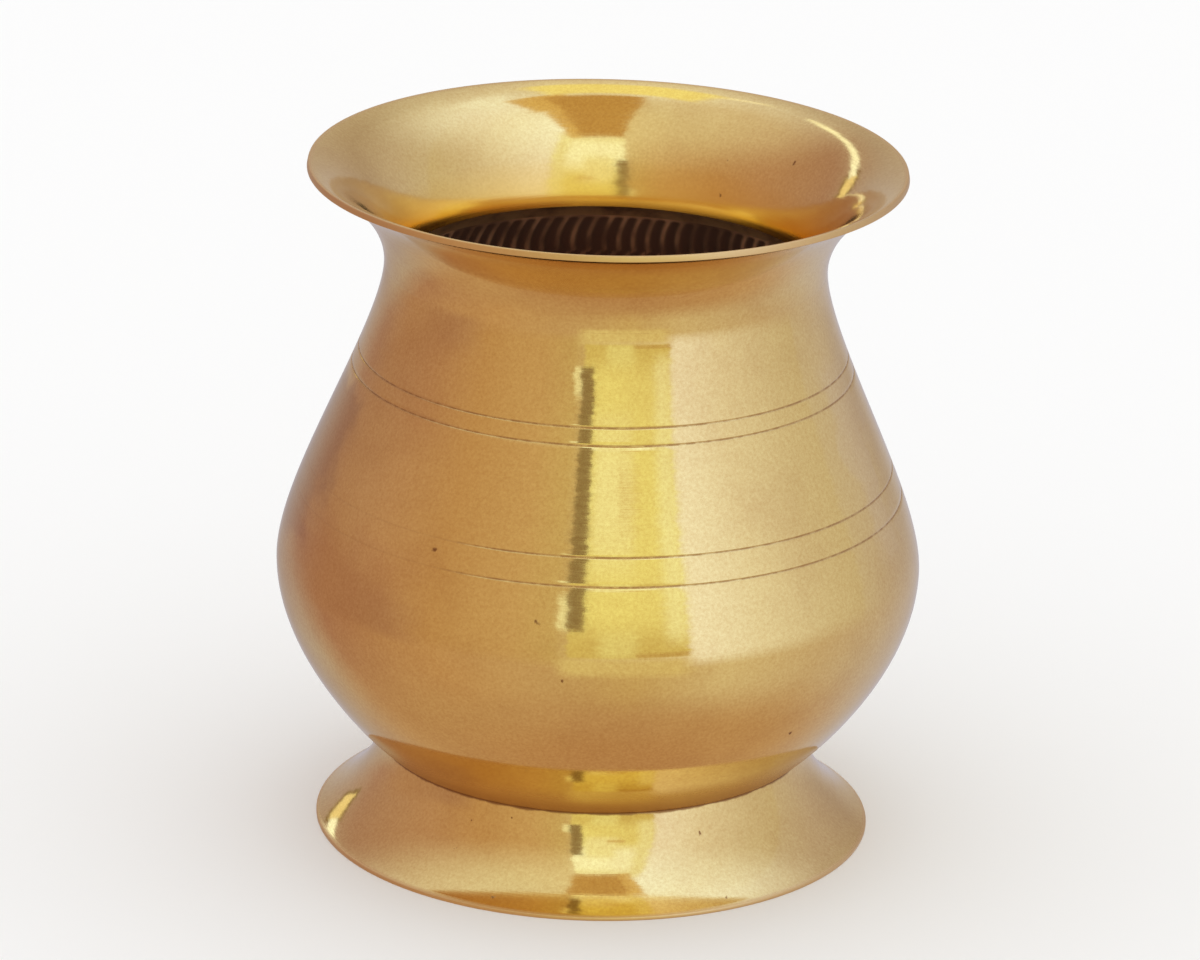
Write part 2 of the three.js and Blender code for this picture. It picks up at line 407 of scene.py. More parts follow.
def heated(rows, mark, reach, most, least):
    """The same rows, marked most at the first one and less along the reach."""
    walked = 0.0
    for before, row in zip(rows[:1] + rows, rows):
        walked += (row.point - before.point).length
        row.marks[mark] = min(max(most * (1 - walked / reach), least), 1.0)
    return rows


def eased_steps(length):
    """Distances at even steps, and smaller ones near both ends, so that reflections run on over a seam."""
    steps = round(length / ROW_STEP)
    step = length / steps
    near = [step * share for share in EASED_SHARES]
    return [0.0] + near + [step * i for i in range(1, steps)] + [length - d for d in reversed(near)] + [length]


def at(radius, height):
    return Vector((radius, 0, height))


def along(slope, length):
    return Vector((math.cos(slope) * length, 0, math.sin(slope) * length))


def crease(s):
    return at(s.crease_radius, s.crease_height)


def seat_inner(s):
    """Inner corner of the land on the bowl that the foot is brazed to."""
    return crease(s) - along(BOWL_SLOPE, s.foot_sheet / math.cos(BOWL_SLOPE))


def bottom_curve(s):
    seat = seat_inner(s)
    return Curve(at(0, s.bottom_height), at(BOTTOM_HOLD, s.bottom_height),
                 seat - along(BOWL_SLOPE, BOTTOM_TURN), seat)


def seat_curve(s):
    low, high = seat_inner(s), crease(s)
    return Curve(low, low.lerp(high, 1 / 3), low.lerp(high, 2 / 3), high)


def bowl_curve(s):
    return Curve(crease(s), crease(s) + along(BOWL_SLOPE, BOWL_SLOPE_HOLD),
                 at(s.belly_radius, s.belly_height - BELLY_HOLD_BELOW), at(s.belly_radius, s.belly_height))


def shoulder_curve(s):
    return Curve(at(s.belly_radius, s.belly_height), at(s.belly_radius, s.belly_height + BELLY_HOLD_ABOVE),
                 at(s.throat_radius, s.throat_height - THROAT_HOLD_BELOW), at(s.throat_radius, s.throat_height))


def mouth_curve(s):
    lip = at(s.mouth_radius, s.lip_height)
    return Curve(at(s.throat_radius, s.throat_height), at(s.throat_radius, s.throat_height + THROAT_HOLD_ABOVE),
                 lip - along(LIP_SLOPE, LIP_HOLD), lip)


def neck_edge(s):
    return at(s.throat_radius - s.neck_sheet, s.throat_height - NECK_DROP)


def mouth_inner_curve(s):
    """Inside of the mouth, from the neck's lower edge up to the trimmed lip."""
    outer = mouth_curve(s)
    lip = outer.point(outer.length, s.body_sheet)
    lip += along(LIP_SLOPE, (s.mouth_radius - LIP_DRAFT - lip.x) / math.cos(LIP_SLOPE))
    neck = neck_edge(s)
    return Curve(neck, neck + along(NECK_SLOPE, NECK_HOLD), lip - along(LIP_SLOPE, LIP_INNER_HOLD), lip)


def foot_curve(s):
    rim = at(s.foot_radius, FOOT_EDGE)
    return Curve(rim, rim + along(math.pi - FOOT_EDGE_SLOPE, FOOT_EDGE_HOLD),
                 crease(s) - along(math.pi - FOOT_WAIST_SLOPE, FOOT_WAIST_HOLD), crease(s))


def rounded(before, corner, after, radius=EDGE_RADIUS, steps=4):
    """Points of a small round that takes the place of a corner."""
    start = corner + (before - corner).normalized() * radius
    end = corner + (after - corner).normalized() * radius
    return arc(start, corner, end, steps)


def arc(start, pull, end, steps=BEAD_ROWS):
    """Points of a curve from start to end that bends towards pull."""
    shares = [i / steps for i in range(steps + 1)]
    return [start * (1 - t) ** 2 + pull * 2 * t * (1 - t) + end * t * t for t in shares]


# Turning a profile into a mesh

def turned_mesh(rows, turns=TURNS, closed=True):
    """Spins the rows about the vessel's axis, one wedge first and then its copies, into a closed mesh.
    The rows' marks and their run become layers."""
    bm = bmesh.new()
    layers = {name: bm.verts.layers.float.new(name)
              for name in ("inside", "edge", "line", "stain", "glow", "run", "mark")}
    verts = []
    travelled = 0.0
    for i, row in enumerate(rows):
        vert = bm.verts.new(row.point)
        travelled += (row.point - rows[i - 1].point).length if i else 0.0
        vert[layers["run"]] = travelled
        for name, value in row.marks.items():
            vert[layers[name]] = value
        verts.append(vert)
    loop = verts + verts[:1] if closed else verts
    edges = [bm.edges.new(pair) for pair in zip(loop, loop[1:])]
    about = {"cent": (0, 0, 0), "axis": (0, 0, 1), "dvec": (0, 0, 0), "use_merge": False}
    bmesh.ops.spin(bm, geom=verts + edges, angle=math.tau / WEDGES, steps=turns // WEDGES,
                   use_duplicate=False, **about)
    bmesh.ops.spin(bm, geom=bm.verts[:] + bm.edges[:] + bm.faces[:], angle=math.tau * (1 - 1 / WEDGES),
                   steps=WEDGES - 1, use_duplicate=True, **about)
    bmesh.ops.remove_doubles(bm, verts=bm.verts, dist=0.001 * MM)
    bmesh.ops.recalc_face_normals(bm, faces=bm.faces)
    bm.normal_update()
    return bm


def finish_piece(bm, name, node, outside, inside=None):
    """Makes the mesh an object that stands for its node, with one material outside and one inside."""
    side = bm.verts.layers.float["inside"]
    for face in bm.faces:
        face.smooth = True
        face.material_index = int(inside is not None and all(v[side] > 0.5 for v in face.verts))
    for edge in bm.edges:
        edge.smooth = edge.calc_face_angle(0.0) < SHARP_ANGLE
    mesh = bpy.data.meshes.new(name)
    bm.to_mesh(mesh)
    bm.free()
    mesh.materials.append(outside)
    if inside is not None:
        mesh.materials.append(inside)
    piece = bpy.data.objects.new(name, mesh)
    bpy.context.scene.collection.objects.link(piece)
    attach(piece, "root")
    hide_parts(node)
    return piece


def handmade(bm, s):
    """Small unevenness of a beaten body. It stands in a little, by an amount that changes slowly, but not at the
    foot."""
    for vert in bm.verts:
        radius = math.hypot(vert.co.x, vert.co.y)
        share = min(max((vert.co.z - s.crease_height) / WOBBLE_FADE, 0.0), 1.0)
        if radius < MM or share == 0:
            continue
        direction = Vector((vert.co.x / radius, vert.co.y / radius, vert.co.z / WOBBLE_HEIGHT))
        give = WOBBLE * share * (0.5 + 0.5 * noise.noise(direction))
        vert.co.x *= 1 - give / radius
        vert.co.y *= 1 - give / radius


def cut_lines(bm, s):
    """Presses the turned lines into the outer face. The lower pair is worn away on the left."""
    line = bm.verts.layers.float["line"]
    worn_below = s.throat_height - (UPPER_LINES[-1] + LOWER_LINES[0]) / 2
    for vert in bm.verts:
        if vert[line]:
            angle = math.degrees(math.atan2(vert.co.x, -vert.co.y))
            left = 1 - min(abs(angle - WORN_MIDDLE) / WORN_REACH, 1.0)
            wear = WORN_MOST * min(left * WORN_ONSET, 1.0) if vert.co.z < worn_below else 0.0
            vert[line] *= 1 - wear
            vert.co -= vert.normal * vert[line] * LINE_DEPTH


def hammer(bm, low, high, margin):
    """Beats rows of narrow upright hammer marks into the inner face between two heights."""
    side = bm.verts.layers.float["inside"]
    mark = bm.verts.layers.float["mark"]
    for vert in bm.verts:
        room = min(vert.co.z - low, high - vert.co.z) / margin
        if vert[side] > 0.5 and room > 0:
            vert[mark] = hammer_mark(vert.co, high) * min(room, 1.0)
    for vert in bm.verts:
        if vert[mark]:
            vert.co -= vert.normal * vert[mark] * MARK_DEPTH


def hammer_mark(place, top):
    """Depth of the hammer marks at a place, from 0 on a ridge to 1 in the middle of a mark."""
    row = (place.z - top) / MARK_ROW
    rise = row - math.floor(row)
    lean = MARK_LEAN * (rise - MARK_UPRIGHT) ** 2
    wander = noise.noise(place * MARK_WANDER_SCALE) * MARK_WANDER
    turn = math.atan2(place.y, place.x) / math.tau * MARKS_AROUND + lean + wander
    across = abs(turn - math.floor(turn) - 0.5) * 2
    return 1 - across ** MARK_FLATNESS


# Materials

def put(tree, kind, values=None, **settings):
    """Adds a node, sets its own options, and sets or links its inputs by name or number."""
    made = tree.nodes.new(kind)
    for key, value in settings.items():
        setattr(made, key, value)
    for key, value in (values or {}).items():
        socket = made.inputs[key]
        if isinstance(value, bpy.types.NodeSocket):
            tree.links.new(value, socket)
        else:
            socket.default_value = value
    return made


def math_node(tree, operation, *values):
    return put(tree, "ShaderNodeMath", dict(enumerate(values)), operation=operation).outputs[0]


def vector_node(tree, operation, **values):
    sockets = {int(key[1:]): value for key, value in values.items()}
    return put(tree, "ShaderNodeVectorMath", sockets, operation=operation)


def mix_colour(tree, factor, a, b, blend="MIX"):
    made = put(tree, "ShaderNodeMix", {"Factor": factor}, data_type="RGBA", blend_type=blend)
    for socket, value in ((made.inputs[6], a), (made.inputs[7], b)):
        if isinstance(value, bpy.types.NodeSocket):
            tree.links.new(value, socket)
        else:
            socket.default_value = (*value, 1) if len(value) == 3 else value
    return made.outputs[2]


def map_range(tree, value, low, high, to_low=0.0, to_high=1.0, smooth=True):
    return put(tree, "ShaderNodeMapRange",
               {"Value": value, "From Min": low, "From Max": high, "To Min": to_low, "To Max": to_high},
               interpolation_type="SMOOTHSTEP" if smooth else "LINEAR", clamp=True).outputs["Result"]


def attribute(tree, name):
    return put(tree, "ShaderNodeAttribute", attribute_name=name).outputs["Fac"]


def object_place(tree):
    return put(tree, "ShaderNodeTexCoord").outputs["Object"]


def noise_node(tree, vector, scale, detail=2.0, roughness=0.5):
    return put(tree, "ShaderNodeTexNoise",
               {"Vector": vector, "Scale": scale, "Detail": detail, "Roughness": roughness}).outputs["Fac"]


def new_group(name, inputs, outputs):
    """A shader node group with named inputs and outputs, and its two end nodes."""
    group = bpy.data.node_groups.new(name, "ShaderNodeTree")
    for label, kind, value in inputs:
        socket = group.interface.new_socket(label, in_out="INPUT", socket_type=kind)
        socket.default_value = value
    for label, kind in outputs:
        group.interface.new_socket(label, in_out="OUTPUT", socket_type=kind)
    return group, group.nodes.new("NodeGroupInput"), group.nodes.new("NodeGroupOutput")


def lathe_marks():
    """Rings left by turning and buffing. Broad ones, which change round the vessel, fray the edges of reflections,
    and fine ones soften them."""
    group, start, end = new_group(
        "lathe_marks",
        [("Fray", "NodeSocketFloat", 0.01), ("Bump", "NodeSocketFloat", 0.3)],
        [("Normal", "NodeSocketVector"), ("Fine", "NodeSocketFloat")])
    run = attribute(group, "run")
    x, y = put(group, "ShaderNodeSeparateXYZ", {0: object_place(group)}).outputs[:2]

    def rings(across, round_it, detail):
        vector = put(group, "ShaderNodeCombineXYZ", {
            "X": math_node(group, "MULTIPLY", x, round_it), "Y": math_node(group, "MULTIPLY", y, round_it),
            "Z": math_node(group, "MULTIPLY", run, across)}).outputs[0]
        return noise_node(group, vector, 1.0, detail)

    fine = rings(5000.0, 60.0, 3.0)
    grain = noise_node(group, object_place(group), 3200.0, 2.0)
    height = math_node(group, "ADD", fine, math_node(group, "MULTIPLY", grain, 0.5))
    bump = put(group, "ShaderNodeBump", {"Height": height, "Strength": start.outputs["Bump"], "Distance": 0.000004})
    sideways = put(group, "ShaderNodeVectorTransform", {
        0: put(group, "ShaderNodeCombineXYZ", {"X": math_node(group, "MULTIPLY", y, -1.0), "Y": x}).outputs[0]},
        vector_type="VECTOR", convert_from="OBJECT", convert_to="WORLD").outputs[0]
    sideways = vector_node(group, "NORMALIZE", _0=sideways).outputs[0]
    fray = math_node(group, "SUBTRACT", rings(1100.0, 45.0, 2.0), 0.5)
    fray = math_node(group, "MULTIPLY", fray, start.outputs["Fray"])
    push = vector_node(group, "SCALE", _0=sideways)
    group.links.new(fray, push.inputs["Scale"])
    bent = vector_node(group, "ADD", _0=bump.outputs[0], _1=push.outputs[0]).outputs[0]
    group.links.new(vector_node(group, "NORMALIZE", _0=bent).outputs[0], end.inputs["Normal"])
    group.links.new(fine, end.inputs["Fine"])
    return group


def tarnish():
    """Soft cloudy patches where the brass has darkened, and a fine grain."""
    group, start, end = new_group(
        "tarnish",
        [("Scale", "NodeSocketFloat", 30.0), ("Grain Scale", "NodeSocketFloat", 2100.0)],
        [("Clouds", "NodeSocketFloat"), ("Grain", "NodeSocketFloat")])
    place = object_place(group)
    cloud = noise_node(group, place, start.outputs["Scale"], 6.0, 0.62)
    group.links.new(map_range(group, cloud, 0.40, 0.72), end.inputs["Clouds"])
    grain = noise_node(group, place, start.outputs["Grain Scale"], 3.0, 0.7)
    group.links.new(map_range(group, grain, 0.3, 0.7, smooth=False), end.inputs["Grain"])
    return group


def pitting():
    """Small dark pits at their places on the polished face."""
    group, start, end = new_group("pitting", [("Spread", "NodeSocketFloat", 1.0)], [("Pits", "NodeSocketFloat")])
    place = object_place(group)
    ragged = put(group, "ShaderNodeTexNoise", {"Vector": place, "Scale": PIT_NOISE, "Detail": 2.0}).outputs["Color"]
    shift = vector_node(group, "SCALE", _0=vector_node(group, "SUBTRACT", _0=ragged, _1=(0.5, 0.5, 0.5)).outputs[0])
    shift.inputs["Scale"].default_value = PIT_SHIFT
    place = vector_node(group, "ADD", _0=place, _1=shift.outputs[0]).outputs[0]
    found = 0.0
    for angle, radius, height, size in PITS:
        turn = math.radians(angle)
        centre = (radius * MM * math.sin(turn), -radius * MM * math.cos(turn), height * MM)
        away = vector_node(group, "DISTANCE", _0=place, _1=centre).outputs["Value"]
        reach = math_node(group, "MULTIPLY", start.outputs["Spread"], size * MM)
        dark = math_node(group, "SUBTRACT", 1.0, math_node(group, "DIVIDE", away, reach))
        found = math_node(group, "MAXIMUM", found, dark)
    group.links.new(map_range(group, found, 0.0, 0.7, 0.0, 0.9), end.inputs["Pits"])
    return group


def tarnish_and_painted_light_patches(tree, colour):
    """The colour with its patches over it: tarnish, a painted dark reflection at the left edge and a painted pale
    sheen on the right.
    """
    place = object_place(tree)
    x, y, z = put(tree, "ShaderNodeSeparateXYZ", {0: place}).outputs
    turn = math_node(tree, "DEGREES", math_node(tree, "ARCTAN2", x, math_node(tree, "MULTIPLY", y, -1.0)))
    ragged = math_node(tree, "SUBTRACT", noise_node(tree, place, PATCH_NOISE, 4.0), 0.5)
    turn = math_node(tree, "ADD", turn, math_node(tree, "MULTIPLY", ragged, PATCH_SHIFT))
    height = math_node(tree, "ADD", math_node(tree, "DIVIDE", z, MM),
                       math_node(tree, "MULTIPLY", ragged, PATCH_LIFT))
    for *shape, strength, patch in PATCHES:
        mask = math_node(tree, "MULTIPLY", box_mask(tree, turn, height, *shape), strength)
        colour = mix_colour(tree, mask, colour, patch)
    return colour


def crease_shade_and_grime(s):
    """Painted shade along the crease where the foot meets the bowl, with some grime in it."""
    group, start, end = new_group(
        "crease_shade_and_grime", [("Width", "NodeSocketFloat", 0.0004)], [("Grime And Crease Shade", "NodeSocketFloat")])
    place = object_place(group)
    x, y, z = put(group, "ShaderNodeSeparateXYZ", {0: place}).outputs
    radius = put(group, "ShaderNodeVectorMath", {0: put(group, "ShaderNodeCombineXYZ", {"X": x, "Y": y}).outputs[0]},
                 operation="LENGTH").outputs["Value"]
    flat = put(group, "ShaderNodeCombineXYZ", {"X": radius, "Z": z}).outputs[0]
    away = vector_node(group, "DISTANCE", _0=flat, _1=tuple(crease(s))).outputs["Value"]
    ragged = map_range(group, noise_node(group, place, 300.0, 3.0), 0.25, 0.75, 0.5, 1.5)
    reach = math_node(group, "MULTIPLY", start.outputs["Width"], ragged)
    group.links.new(map_range(group, math_node(group, "DIVIDE", away, reach), 1.0, 0.2), end.inputs["Grime And Crease Shade"])
    return group


def brass_base(name, roughness, metallic=1.0):
    """A material with a Principled shader, and its tree and shader."""
    material = bpy.data.materials.new(name)
    material.use_nodes = True
    tree = material.node_tree
    shader = tree.nodes["Principled BSDF"]
    shader.inputs["Metallic"].default_value = metallic
    shader.inputs["Roughness"].default_value = roughness
    return tree, shader


def polished_brass(finish, groups):
    """Buffed brass with rings from the lathe, faint tarnish, patches of tarnish, painted reflection and painted
    sheen, grime in its lines, painted shade with some grime along its crease, and a few pits.
    """
    tree, shader = brass_base("bright_brass", 0.08)
    marks = put(tree, "ShaderNodeGroup", {"Fray": 0.035, "Bump": 0.5}, node_tree=groups["marks"])
    dull = put(tree, "ShaderNodeGroup", {"Scale": 38.0}, node_tree=groups["tarnish"])
    pits = put(tree, "ShaderNodeGroup", node_tree=groups["pitting"]).outputs["Pits"]
    seam = put(tree, "ShaderNodeGroup", node_tree=groups["seam"]).outputs["Grime And Crease Shade"]
    edge = attribute(tree, "edge")
    stain = attribute(tree, "stain")
    line = math_node(tree, "POWER", attribute(tree, "line"), 0.7)
    broken = map_range(tree, noise_node(tree, object_place(tree), 700.0, 3.0), 0.35, 0.6, 0.5, 1.0)
    line = math_node(tree, "MULTIPLY", line, broken)
    # Mask of the pits, and of the painted shade with some grime along the crease
    pits_and_crease_shade = math_node(tree, "MAXIMUM", pits, math_node(tree, "MULTIPLY", seam, 0.9))
    colour = mix_colour(tree, math_node(tree, "MULTIPLY", dull.outputs["Clouds"], 0.42),
                        tuple(finish.brass_colour), tuple(finish.tarnish_colour))
    # Patches of tarnish, and of painted reflection and painted sheen, go over the colour here
    colour = tarnish_and_painted_light_patches(tree, colour)
    colour = mix_colour(tree, dull.outputs["Grain"], colour, mix_colour(tree, 1.0, colour, GRAIN, "MULTIPLY"))
    colour = mix_colour(tree, attribute(tree, "glow"), colour, tuple(finish.glow_colour))
    colour = mix_colour(tree, stain, colour, tuple(finish.stain_colour))
    colour = mix_colour(tree, math_node(tree, "MULTIPLY", edge, 0.8), colour, tuple(finish.edge_colour))
    colour = mix_colour(tree, math_node(tree, "MULTIPLY", line, 0.85), colour, tuple(finish.line_colour))
    # The pits get their grime here, and the crease gets its painted shade and grime
    colour = mix_colour(tree, pits_and_crease_shade, colour, tuple(finish.grime_and_crease_shade_colour))
    tree.links.new(colour, shader.inputs["Base Color"])
    rough = map_range(tree, marks.outputs["Fine"], 0.3, 0.7, *POLISH)
    dull_places = ((edge, DULL_EDGE), (stain, DULL_STAIN), (attribute(tree, "glow"), DULL_GLOW),
                   (math_node(tree, "MAXIMUM", line, pits_and_crease_shade), DULL_DIRT))
    for mask, more in dull_places:
        rough = math_node(tree, "ADD", rough, math_node(tree, "MULTIPLY", mask, more))
    tree.links.new(rough, shader.inputs["Roughness"])
    tree.links.new(marks.outputs["Normal"], shader.inputs["Normal"])


def hammered_brass(finish, groups):
    """Oxidised brass inside, worn to a brown on the ridges between the hammer marks."""
    tree, shader = brass_base("dark_brass", 0.36, metallic=0.75)
    dull = put(tree, "ShaderNodeGroup", {"Scale": 160.0}, node_tree=groups["tarnish"])
    ridge = map_range(tree, attribute(tree, "mark"), 0.95, 0.2)
    place = object_place(tree)
    worn = map_range(tree, noise_node(tree, place, 150.0, 2.0), 0.35, 0.65, 0.15, 1.0)
    height = put(tree, "ShaderNodeSeparateXYZ", {0: place}).outputs["Z"]
    worn = math_node(tree, "MULTIPLY", worn, map_range(tree, height, *RIDGES_BRIGHTEN, RIDGES_LEAST, 1.0))
    ridge = math_node(tree, "MULTIPLY", ridge, worn)
    colour = mix_colour(tree, ridge, tuple(finish.hollow_colour), tuple(finish.ridge_colour))
    tree.links.new(colour, shader.inputs["Base Color"])
    bump = put(tree, "ShaderNodeBump", {"Height": dull.outputs["Grain"], "Strength": 0.4, "Distance": 0.00002})
    tree.links.new(bump.outputs[0], shader.inputs["Normal"])


def braze_brass(finish, groups):
    """Dull, uneven metal of the brazing."""
    tree, shader = brass_base("braze_metal", 0.42, metallic=0.7)
    dull = put(tree, "ShaderNodeGroup", {"Scale": 120.0}, node_tree=groups["tarnish"])
    colour = mix_colour(tree, dull.outputs["Clouds"], tuple(finish.brazing_colour), tuple(finish.hollow_colour))
    tree.links.new(colour, shader.inputs["Base Color"])
    bump = put(tree, "ShaderNodeBump", {"Height": dull.outputs["Clouds"], "Strength": 0.5, "Distance": 0.0001})
    tree.links.new(bump.outputs[0], shader.inputs["Normal"])


def brasses(scene):
    """The three finishes, made once."""
    if "bright_brass" not in bpy.data.materials:
        groups = {"marks": lathe_marks(), "tarnish": tarnish(), "pitting": pitting(),
                  "seam": crease_shade_and_grime(scene.lota_sizes)}
        polished_brass(scene.lota_finish, groups)
        hammered_brass(scene.lota_finish, groups)
        braze_brass(scene.lota_finish, groups)
    return [bpy.data.materials[name] for name in ("bright_brass", "dark_brass", "braze_metal")]


# Pieces

class LOTA_OT_mouth(bpy.types.Operator):
    """Makes the flared mouth and neck"""

    bl_idname = "lota.mouth"
    bl_label = "Mouth and neck"

    def execute(self, context):
        s = context.scene.lota_sizes
        polished = brasses(context.scene)[0]
        curve = mouth_curve(s)
        outer = [Row(curve.point(d)) for d in eased_steps(curve.length) if d < curve.length - ROW_STEP / 2]
        inner = heated(mouth_inner_curve(s).rows(), *NECK_GLOW)
        low, high = curve.point(curve.length), inner[-1].point
        lip = rounded(outer[-1].point, low, high, EDGE_RADIUS / 2)
        lip += rounded(low, high, inner[-2].point, 2 * EDGE_RADIUS)
        shoulder = shoulder_curve(s)
        tuck = shoulder.point(shoulder.length - SCARF_LAP, s.body_sheet)
        rows = outer + [Row(p, edge=1.0) for p in lip] + inner[:-1][::-1] + [Row(tuck)]
        bm = turned_mesh(rows)
        handmade(bm, s)
        finish_piece(bm, "mouth", "mouth_and_neck", polished)
        return {"FINISHED"}


class LOTA_OT_shoulder(bpy.types.Operator):
    """Makes the beaten shoulder with its turned lines"""

    bl_idname = "lota.shoulder"
    bl_label = "Shoulder"

    def execute(self, context):
        s = context.scene.lota_sizes
        polished, hammered = brasses(context.scene)[:2]
        curve = shoulder_curve(s)
        centres = [curve.distance_at_height(s.throat_height - drop) for drop in UPPER_LINES + LOWER_LINES]
        plain = eased_steps(curve.length)
        spots = [(d, 0.0) for d in plain if all(abs(d - c) > LINE_CLEARANCE * LINE_HALF_WIDTH for c in centres)]
        spots += [(c + share * LINE_HALF_WIDTH, deep) for c in centres for share, deep in LINE_SECTION]
        outer = [Row(curve.point(d), line=deep) for d, deep in sorted(spots)]
        inner = curve.rows(curve.length - SCARF_LAP, s.body_sheet, inside=1.0)
        below = bowl_curve(s)
        tuck = below.point(below.length - SCARF_LAP, s.body_sheet)
        bm = turned_mesh(outer + inner[::-1] + [Row(tuck, inside=1.0)], HAMMERED_TURNS)
        cut_lines(bm, s)
        hammer(bm, s.belly_height, s.throat_height - SCARF_LAP - BEAD_REACH, SHOULDER_MARGIN)
        handmade(bm, s)
        finish_piece(bm, "shoulder", "shoulder_shell", polished, hammered)
        return {"FINISHED"}


class LOTA_OT_bowl(bpy.types.Operator):
    """Makes the beaten bowl with its closed bottom"""

    bl_idname = "lota.bowl"
    bl_label = "Bowl"

    def execute(self, context):
        s = context.scene.lota_sizes
        polished, hammered = brasses(context.scene)[:2]
        bottom, seat, bowl = bottom_curve(s), seat_curve(s), bowl_curve(s)
        outer = bottom.rows() + seat.rows()[1:-1]
        outer += heated([Row(bowl.point(d)) for d in eased_steps(bowl.length)], *BOWL_STAIN)
        inner = bottom.rows(depth=s.body_sheet, inside=1.0)
        inner += seat.rows(depth=s.body_sheet, inside=1.0)
        inner += bowl.rows(bowl.length - SCARF_LAP, s.body_sheet, inside=1.0)[1:]
        bm = turned_mesh(outer + inner[::-1], HAMMERED_TURNS, closed=False)
        low = s.bottom_height + BOTTOM_CLEARANCE
        hammer(bm, low, s.belly_height - SCARF_LAP - BEAD_REACH, BOWL_MARGIN)
        handmade(bm, s)
        finish_piece(bm, "bowl", "bowl_shell", polished, hammered)
        return {"FINISHED"}


class LOTA_OT_foot(bpy.types.Operator):
    """Makes the spun trumpet foot"""

    bl_idname = "lota.foot"
    bl_label = "Foot"

    def execute(self, context):
        s = context.scene.lota_sizes
        polished, _, braze = brasses(context.scene)
        curve = foot_curve(s)
        outer = curve.rows()
        inner = curve.rows(depth=s.foot_sheet, inside=1.0)[:-1]
        inner = [row for row in inner if row.point.z > FOOT_ROW_LOW]
        rest = s.foot_sheet / math.sin(FOOT_EDGE_SLOPE) - FOOT_EDGE / math.tan(FOOT_EDGE_SLOPE)
        heel, toe = at(s.foot_radius - rest, 0), at(s.foot_radius, 0)
        edge = rounded(heel, toe, outer[0].point) + rounded(toe, outer[0].point, outer[1].point)
        rows = [Row(heel, inside=1.0)] + [Row(p, edge=1.0) for p in edge] + outer[1:]
        rows += [Row(seat_inner(s), inside=1.0)] + inner[::-1]
        bm = turned_mesh(rows)
        finish_piece(bm, "foot", "foot_ring", polished, braze)
        return {"FINISHED"}


class LOTA_OT_brazing(bpy.types.Operator):
    """Makes the brazing inside the two seams of the body and the fillet under the bowl"""

    bl_idname = "lota.brazing"
    bl_label = "Brazing"

    def execute(self, context):
        s = context.scene.lota_sizes
        braze = brasses(context.scene)[2]

        def run_of_brazing(name, node, face, corner):
            bm = turned_mesh([Row(p) for p in face + [corner]])
            handmade(bm, s)
            finish_piece(bm, name, node, braze)

        shoulder, bowl, bottom, foot = shoulder_curve(s), bowl_curve(s), bottom_curve(s), foot_curve(s)
        edge = shoulder.point(shoulder.length - SCARF_LAP, s.body_sheet)
        below = shoulder.point(shoulder.length - SCARF_LAP - BEAD_REACH, s.body_sheet)
        pull = below.lerp(neck_edge(s), 0.5).lerp(edge, NECK_FILLET_HOLLOW)
        run_of_brazing("neck_fillet", "neck_seam_braze", arc(neck_edge(s), pull, below), edge)

        edge = bowl.point(bowl.length - SCARF_LAP, s.body_sheet)
        below = bowl.point(bowl.length - SCARF_LAP - BEAD_REACH, s.body_sheet)
        crown = edge + bowl.inward(bowl.length - SCARF_LAP) * 2 * BEAD_CROWN
        above = bowl.point(bowl.length, s.body_sheet)
        run_of_brazing("belly_bead", "belly_seam_braze", arc(above, crown, below), edge)

        corner = seat_inner(s)
        on_bowl = bottom.point(bottom.length - FILLET_LEG)
        on_foot = foot.point(foot.length - FILLET_LEG, s.foot_sheet)
        run_of_brazing("foot_fillet", "foot_seam_braze", arc(on_bowl, corner, on_foot), corner)
        return {"FINISHED"}


# Stage

def ring_of_colours(tree, azimuth, stops):
    """Plain colours that run into each other round the room."""
    node = put(tree, "ShaderNodeValToRGB", {"Fac": map_range(tree, azimuth, -180, 180, smooth=False)})
    ramp = node.color_ramp
    while len(ramp.elements) < len(stops):
        ramp.elements.new(0.5)
    for element, (angle, colour) in zip(ramp.elements, stops):
        element.position = angle / 360 + 0.5
        element.color = (*colour, 1)
    return node.outputs["Color"]


def box_mask(tree, across, up, left, right, low, high, side_soft, end_soft):
    """1 inside a rectangle of two measures, with soft edges."""
    h, v = side_soft / 2, end_soft / 2
    sides = (map_range(tree, across, left - h, left + h), map_range(tree, across, right + h, right - h),
             map_range(tree, up, low - v, low + v), map_range(tree, up, high + v, high - v))
    mask = sides[0]
    for side in sides[1:]:
        mask = math_node(tree, "MULTIPLY", mask, side)
    return mask


